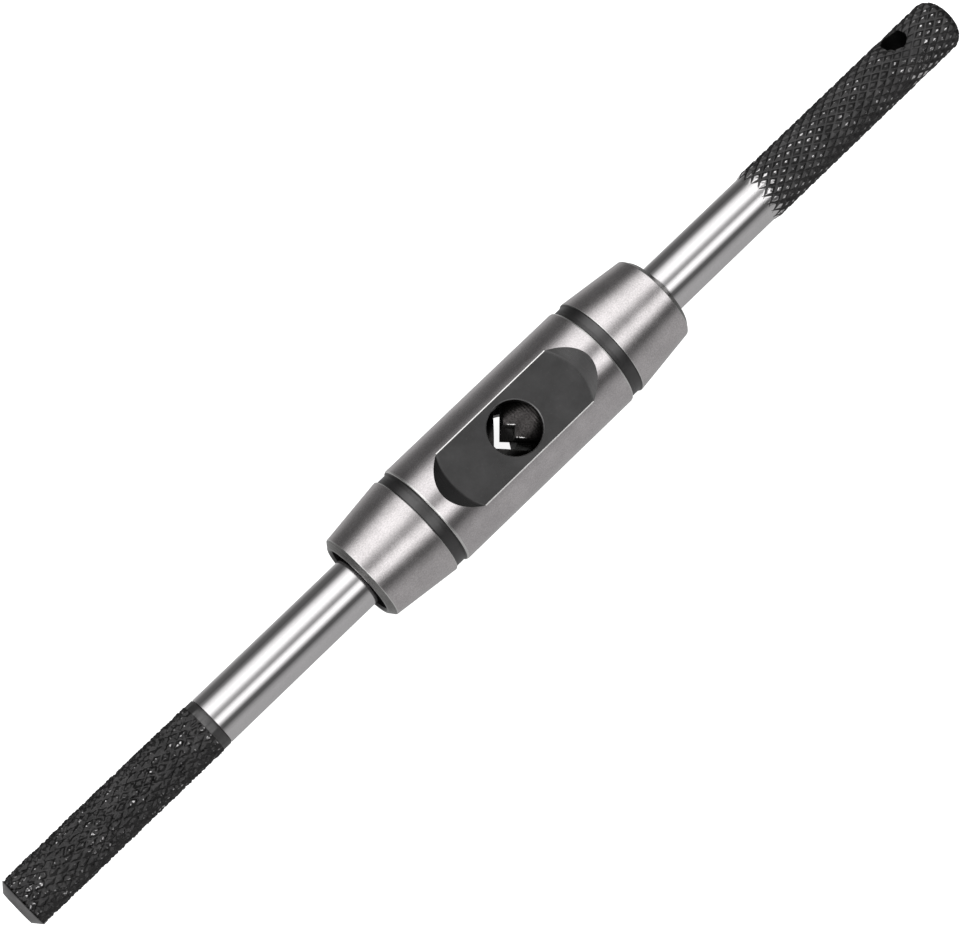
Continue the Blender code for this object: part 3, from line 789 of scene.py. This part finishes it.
def thread(x, core):
    """Radius of a right-handed thread at place x, as a function of the ring's angles."""
    steepness = 1.25            # of the flanks, clipped to flats at the root and the crest
    root = 0.12

    def radius(angles):
        wave = triangle_wave(x / THREAD_PITCH - angles / TURN)
        return core + THREAD_DEPTH * np.clip(wave * steepness - root, 0, 1)
    return radius


def wear(x, angles, size, shift):
    """Smooth noise from about -1 to 1 over a grip's surface, one value for each angle.

    size is that of its patches, and shift moves it along so that no two uses match.
    """
    radius = GRIP_RADIUS
    return np.array([field.noise(Vector((x / size + shift, math.cos(angle) * radius / size,
                                         math.sin(angle) * radius / size)))
                     for angle in angles]) * 2


def knurl(x, crest, depth, lead, phase, split=0.0):
    """Radius of the knurled surface at place x, as a function of the ring's angles.

    crest is the radius of the flat tops there. depth, a number or a function of the
    angles, is that of the grooves. split is how deep each top is scored across.
    """
    score_sharpness = 6

    def radius(angles):
        turns = angles / TURN * KNURL_STARTS
        along = x / lead - phase
        one = triangle_wave(turns + along)
        two = triangle_wave(turns - along)
        deep = depth(angles) if callable(depth) else depth
        low = np.minimum(0, KNURL_SLOPE * np.minimum(one, two) - deep)
        across = max(0.0, 1 - abs(along * 2 - round(along * 2)) * score_sharpness)
        return crest + low - split * across * (low > -split)
    return radius


def dents(x, angles, large, small):
    """How far a battered surface is knocked in, by larger and by smaller dents."""
    return (large * np.clip(wear(x, angles, 0.45 * MM, 14.0), 0, 1)
            + small * np.clip(wear(x, angles, 0.25 * MM, 21.0), 0, 1))


def make_fixed_handle():
    """The left rod, with a spigot for its sleeve and a screw into the fixed jaw."""
    step = SLEEVE_INNER_X + 0.02 * MM
    shoulder = FIXED_JAW_BACK_X - 0.05 * MM
    edge = 0.15 * MM
    rows = [(SPIGOT_END_X, 0, 0), (SPIGOT_END_X, SPIGOT_RADIUS, 0), (step, SPIGOT_RADIUS, 0),
            (step, ROD_RADIUS - edge, 0), (step + edge, ROD_RADIUS, 0),
            (shoulder - edge, ROD_RADIUS, 0), (shoulder, ROD_RADIUS - edge, 0),
            (shoulder, SCREW_RADIUS, 0), (SCREW_END_X, SCREW_RADIUS, 0), (SCREW_END_X, 0, 0)]
    return finished("fixed_handle_rod", rings_mesh(rows, ROD_SEGMENTS), [POLISHED])


def make_fixed_grip():
    """The left sleeve: end chamfer, battered knurling and a plain collar."""
    smooth, rough, end = 0, 1, 2
    round_off = 0.06 * MM
    start = SLEEVE_OUTER_X + SLEEVE_CHAMFER_LENGTH
    rows = [(SLEEVE_OUTER_X, 0, smooth), (SLEEVE_OUTER_X, SLEEVE_FACE_RADIUS, end),
            (start - 0.05 * MM, SLEEVE_RADIUS - 0.12 * MM, smooth),
            (start + 0.05 * MM, SLEEVE_RADIUS - 0.02 * MM, rough)]

    def uneven(x):
        """The wheel bit unevenly, so the grooves' depth wanders over the grip."""
        def depth(angles):
            slow = 0.20 * wear(x, angles, 3.2 * MM, 5.0)
            quick = 0.26 * wear(x, angles, 0.7 * MM, 9.0)
            return KNURL_DEPTH * np.minimum(1.2, 0.88 + slow + quick)
        return depth

    for x in np.arange(start + 0.15 * MM, SLEEVE_COLLAR_X, KNURL_ROW_PITCH):
        tops = knurl(x, SLEEVE_RADIUS, uneven(x), LEFT_LEAD, LEFT_PHASE, 0.08 * MM)

        def battered(angles, x=x, tops=tops):
            return tops(angles) - dents(x, angles, 0.14 * MM, 0.09 * MM)

        rows.append((x, battered, rough))
    rows += [(SLEEVE_COLLAR_X + 0.05 * MM, SLEEVE_COLLAR_RADIUS, smooth),
             (SLEEVE_INNER_X - round_off, SLEEVE_COLLAR_RADIUS, smooth),
             (SLEEVE_INNER_X, SLEEVE_COLLAR_RADIUS - round_off, smooth),
             (SLEEVE_INNER_X, SLEEVE_BORE_RADIUS, smooth),
             (SLEEVE_BORE_END_X, SLEEVE_BORE_RADIUS, smooth), (SLEEVE_BORE_END_X, 0, smooth)]
    return finished("fixed_grip_sleeve", rings_mesh(rows, KNURL_SEGMENTS),
                    [BLACK_SMOOTH, KNURL_LEFT, BLACK_END], sharp_degrees=60)


def cross_hole_dish(x, angles):
    """How far the grip is pressed in round the two mouths of its cross hole."""
    off_axis = GRIP_RADIUS * np.sin(angles - CROSS_HOLE_ANGLE)
    distance = np.hypot(x - CROSS_HOLE_X, off_axis)
    reach = (CROSS_HOLE_DISH_RADIUS - distance) / (CROSS_HOLE_DISH_RADIUS - CROSS_HOLE_RADIUS)
    return CROSS_HOLE_DISH * np.clip(reach, 0, 1) ** 1.5


def make_moving_handle():
    """The right handle: button, neck, thread, polished rod, and grip with its cross hole."""
    rod, rough, black = 0, 1, 2
    edge = 0.15 * MM
    rows = [(BUTTON_FRONT_X, 0, rod), (BUTTON_FRONT_X, BUTTON_RADIUS - edge, rod),
            (BUTTON_FRONT_X + edge, BUTTON_RADIUS, rod), (BUTTON_BACK_X, BUTTON_RADIUS, rod),
            (BUTTON_BACK_X, NECK_RADIUS, rod), (THREAD_START_X, NECK_RADIUS, rod)]
    for x in np.arange(THREAD_START_X, SHOULDER_X, THREAD_PITCH / THREAD_STEPS):
        rows.append((x, thread(x, THREAD_CORE_RADIUS), rod))
    rows += [(SHOULDER_X, ROD_RADIUS - edge, rod), (SHOULDER_X + edge, ROD_RADIUS, rod),
             (HANDLE_GRIP_X - 0.5 * MM, ROD_RADIUS, rough)]

    def groove_depth(x):
        """The grooves fade in over two stretches, unevenly, and out by the cross hole."""
        first_length = 2.3 * MM
        second_length = 2.0 * MM
        hole_reach = 2.6 * MM

        def depth(angles):
            late = 0.2 * np.cos(angles) - 0.25 * np.sin(angles)
            ragged = 0.2 * wear(0, angles, 1.6 * MM, 2.0)
            start = HANDLE_GRIP_X + (0.2 + late + ragged) * MM
            first = np.clip((x - start) / first_length, 0, 1) * 0.72
            second = np.clip((x - start - first_length) / second_length, 0, 1) * 0.22
            wander = 0.09 * wear(x, angles, 3.0 * MM, 8.0) * (first > 0.3)
            fading = np.exp(-((x - CROSS_HOLE_X) / hole_reach) ** 2)
            return KNURL_DEPTH * (first + second + wander) * (1 - 0.45 * fading)
        return depth

    last = HANDLE_END_X - HANDLE_END_ROUNDING
    early = HANDLE_GRIP_X - 0.3 * MM
    places = [(x, GRIP_RADIUS) for x in np.arange(early, last, KNURL_ROW_PITCH)]
    face_radius = GRIP_RADIUS - HANDLE_END_ROUNDING
    places += [(x, radius) for x, radius, _ in
               arc(last, face_radius, HANDLE_END_ROUNDING, 88, 4, rough, 16)]
    for x, limit in places:
        climb = min(1.0, max(0.0, (x - RUN_OUT_START) / (RUN_OUT_END - RUN_OUT_START)))
        crest = min(limit, ROD_RADIUS + (GRIP_RADIUS - ROD_RADIUS) * climb)
        ending = min(1.0, (HANDLE_END_X - x) / (0.7 * MM))

        def surface(angles, x=x, crest=crest, ending=ending, climb=climb):
            depth = groove_depth(x)(angles) * ending
            tops = knurl(x, crest, depth, RIGHT_LEAD, RIGHT_PHASE)(angles)
            knocks = dents(x, angles, 0.02 * MM, 0.02 * MM) * climb
            return tops - cross_hole_dish(x, angles) - knocks

        rows.append((x, surface, rough))
    rows += [(HANDLE_END_X, face_radius, black), (HANDLE_END_X, 0, black)]
    handle = finished("moving_handle_bar", rings_mesh(rows, KNURL_SEGMENTS),
                      [POLISHED, KNURL_RIGHT, BLACK_SMOOTH], sharp_degrees=60)
    half = 7 * MM
    hole = [(-half, 0, 0), (-half, CROSS_HOLE_RADIUS, 0), (half, CROSS_HOLE_RADIUS, 0),
            (half, 0, 0)]
    bm = rings_mesh(hole, SMALL_SEGMENTS, axis="Z")
    bmesh.ops.rotate(bm, verts=bm.verts, cent=(0, 0, 0),
                     matrix=Matrix.Rotation(-CROSS_HOLE_ANGLE, 3, "X"))
    bmesh.ops.translate(bm, verts=bm.verts, vec=(CROSS_HOLE_X, 0, 0))
    subtract(handle, [finished("cross_hole_cutter", bm, [BLACK_HOLE_SHADE])])
    handle.data.shade_smooth()
    handle.data.set_sharp_from_angle(angle=math.radians(50))
    return handle


# ---------------------------------------------------------------- bush, pins and key

def make_screw_bush():
    """The bush in the body's right end, threaded as far as its counterbore."""
    edge = 0.2 * MM
    outside = JAW_RADIUS + 0.04 * MM
    counterbore = ROD_RADIUS + 0.12 * MM
    mouth = ROD_RADIUS + 0.3 * MM + edge
    rows = [(BUSH_BACK_X, mouth, 0), (BUSH_BACK_X, JAW_RADIUS - edge, 0),
            (BUSH_BACK_X - edge, outside, 0), (BUSH_FRONT_X, outside, 0)]
    for x in np.arange(BUSH_FRONT_X, BUSH_COUNTERBORE_X, THREAD_PITCH / THREAD_STEPS):
        rows.append((x, thread(x, THREAD_CORE_RADIUS + THREAD_CLEARANCE), 0))
    rows += [(BUSH_COUNTERBORE_X, counterbore, 0), (BUSH_BACK_X - edge, counterbore, 0)]
    return finished("screw_bush_sleeve", rings_mesh(rows, SMALL_SEGMENTS, closed=True), [BUSH])


def make_jaw_key():
    """A grub screw with a driver slot, whose dog point keeps the moving jaw upright."""
    head = -WINDOW_FLAT_HEIGHT + 0.1 * MM
    edge = 0.15 * MM
    tip_edge = 0.1 * MM
    shank_end = -5.5 * MM
    rows = [(head, 0, 0), (head, KEY_RADIUS - edge, 0), (head + edge, KEY_RADIUS, 0),
            (shank_end, KEY_RADIUS, 0), (shank_end + 0.3 * MM, KEY_TIP_RADIUS, 0),
            (KEY_TIP_Z - tip_edge, KEY_TIP_RADIUS, 0),
            (KEY_TIP_Z, KEY_TIP_RADIUS - tip_edge, 0), (KEY_TIP_Z, 0, 0)]
    bm = rings_mesh(rows, SMALL_SEGMENTS, axis="Z")
    bmesh.ops.translate(bm, verts=bm.verts, vec=(KEY_X, 0, 0))
    key = finished("jaw_key_screw", bm, [PIN])
    half_width = 0.25 * MM
    reach = 3 * MM
    slot = block("driver_slot_cutter", (KEY_X - reach, -half_width, -OUTSIDE_JAW),
                 (KEY_X + reach, half_width, head + 0.5 * MM), BLACK_HOLE_SHADE)
    return subtract(key, [slot])


def place(piece, cad_node, body, slot):
    """Puts a piece on a body, in the place of its CAD node, which it hides; slot is not used.
    """
    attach(piece, body)
    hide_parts(cad_node)


place(make_body(), "body", "frame", "ground_steel")
place(make_fixed_jaw(), "fixed_jaw", "frame", "jaw_steel")
place(make_jaw_key(), "jaw_key", "frame", "pin_steel")
place(make_screw_bush(), "screw_bush", "frame", "bush_steel")
place(make_fixed_handle(), "fixed_handle", "frame", "polished_steel")
place(make_fixed_grip(), "fixed_grip", "frame", "black_oxide")
place(make_moving_jaw(), "moving_jaw", "jaw", "jaw_steel")
place(make_moving_handle(), "moving_handle", "handle", "polished_steel")
for pin_node, pin_x in (("fixed_jaw_pin", -LOCK_PIN_X), ("bush_pin", LOCK_PIN_X)):
    place(post(f"{pin_node}_dowel", LOCK_PIN_RADIUS, pin_x, 0, LOCK_PIN_BOTTOM_Z,
               LOCK_PIN_TOP_Z, PIN, DOWEL_CHAMFER), pin_node, "frame", "pin_steel")
for pin_node, pin_y in (("jaw_pin_a", PIN_Y), ("jaw_pin_b", -PIN_Y)):
    place(post(f"{pin_node}_dowel", PIN_RADIUS, PIN_X, pin_y, -PIN_HALF_LENGTH,
               PIN_HALF_LENGTH, PIN, DOWEL_CHAMFER), pin_node, "jaw", "pin_steel")


# ---------------------------------------------------------------- stage

CAMERA_TILT = math.radians(11.27)     # towards the fixed handle
CAMERA_ROLL = math.radians(2.1)       # round the tool, towards -Y
CAMERA_SLANT = math.radians(43.84)    # of the tool across the picture
CAMERA_DISTANCE = 387.1 * MM
CAMERA_OFF_ALONG = 5.61 * MM          # from over the tap hole, towards the fixed handle
CAMERA_OFF_ACROSS = 0.30 * MM         # and towards -Y
CAMERA_LENS = 102.07                  # millimetres, on a sensor 36 mm wide


def make_floor():
    """A white light table under the tool, which the metal doesn't mirror."""
    half_size = 3.0
    bm = bmesh.new()
    bmesh.ops.create_grid(bm, x_segments=1, y_segments=1, size=half_size)
    bmesh.ops.translate(bm, verts=bm.verts, vec=(0, 0, -BODY_RADIUS - 0.02 * MM))
    material, _, shader, _ = start_material("white_table", 0.0)
    shader.inputs["Base Color"].default_value = (0.8, 0.8, 0.8, 1)
    shader.inputs["Roughness"].default_value = 0.9
    shader.inputs["Emission Color"].default_value = (1, 1, 1, 1)
    shader.inputs["Emission Strength"].default_value = 0.9
    floor = finished("floor", bm, [material])
    floor.visible_glossy = False


def make_studio():
    """Two long soft boxes over the tool with dark gaps between, as one smooth surround.

    The levels go round the tool's axis. Angles are in degrees from the camera's side,
    positive towards -Y.
    """
    brightest = 1.40
    levels = [(-180, 0.40), (-160, 0.46), (-148, 0.44), (-138, 0.34), (-128, 0.22),
              (-116, 0.14), (-92, 0.10), (-78, 0.24), (-62, 0.95), (-48, 1.35), (-28, 1.35),
              (-13, 0.50), (-3, 0.36), (7, 1.10), (13, 1.38), (22, 1.38), (32, 0.60),
              (40, 0.13), (52, 0.10), (70, 0.38), (85, 0.45), (140, 0.42), (180, 0.40)]
    world = bpy.data.worlds.new("studio")
    bpy.context.scene.world = world
    world.use_nodes = True
    tree = world.node_tree
    background = tree.nodes["Background"]
    parts = node(tree, "ShaderNodeSeparateXYZ")
    coordinates = tree.nodes.new("ShaderNodeTexCoord")
    tree.links.new(coordinates.outputs["Generated"], parts.inputs[0])
    around = maths(tree, "ARCTAN2", maths(tree, "MULTIPLY", parts.outputs["Y"], -1.0),
                   parts.outputs["Z"])
    share = maths(tree, "DIVIDE", maths(tree, "SUBTRACT", around, CAMERA_ROLL - math.pi), TURN)
    bands = ramp(tree, share, [((angle + 180) / 360, level / brightest)
                               for angle, level in levels])
    # The boxes stop short of the side that the turning handle points to.
    along = ramp(tree, maths(tree, "MULTIPLY_ADD", parts.outputs["X"], 0.5, 0.5),
                 [(0.80, 1.0), (0.94, 0.20)])
    shaped = node(tree, "ShaderNodeVectorMath")
    shaped.operation = "MULTIPLY"
    tree.links.new(bands, shaped.inputs[0])
    tree.links.new(along, shaped.inputs[1])
    # The camera sees a plain pale backdrop in the place of the boxes.
    plain = tree.nodes.new("ShaderNodeBackground")
    plain.inputs["Color"].default_value = (0.95, 0.95, 0.95, 1)
    path = tree.nodes.new("ShaderNodeLightPath")
    choose = tree.nodes.new("ShaderNodeMixShader")
    tree.links.new(shaped.outputs[0], background.inputs["Color"])
    background.inputs["Strength"].default_value = brightest
    tree.links.new(path.outputs["Is Camera Ray"], choose.inputs[0])
    tree.links.new(background.outputs[0], choose.inputs[1])
    tree.links.new(plain.outputs[0], choose.inputs[2])
    tree.links.new(choose.outputs[0], tree.nodes["World Output"].inputs["Surface"])
    bpy.context.scene.view_settings.view_transform = "Standard"


def make_camera():
    """Above the window, a little towards the fixed handle, with the tool slantwise."""
    along = Vector((math.cos(CAMERA_TILT), 0, math.sin(CAMERA_TILT)))
    across = Vector((0, 1, 0))
    backwards = Vector((-math.sin(CAMERA_TILT), 0, math.cos(CAMERA_TILT)))
    right = along * math.cos(CAMERA_SLANT) - across * math.sin(CAMERA_SLANT)
    up = along * math.sin(CAMERA_SLANT) + across * math.cos(CAMERA_SLANT)
    spot = (backwards * CAMERA_DISTANCE - along * CAMERA_OFF_ALONG
            - across * CAMERA_OFF_ACROSS)
    turned = Matrix((right, up, backwards)).transposed().to_4x4()
    camera = bpy.data.cameras.new("camera")
    camera.sensor_width = 36.0
    camera.lens = CAMERA_LENS
    camera.clip_start = 0.01
    obj = bpy.data.objects.new("camera", camera)
    obj.matrix_world = Matrix.Rotation(CAMERA_ROLL, 4, "X") @ Matrix.Translation(spot) @ turned
    bpy.context.scene.collection.objects.link(obj)
    bpy.context.scene.camera = obj


make_floor()
make_studio()
make_camera()
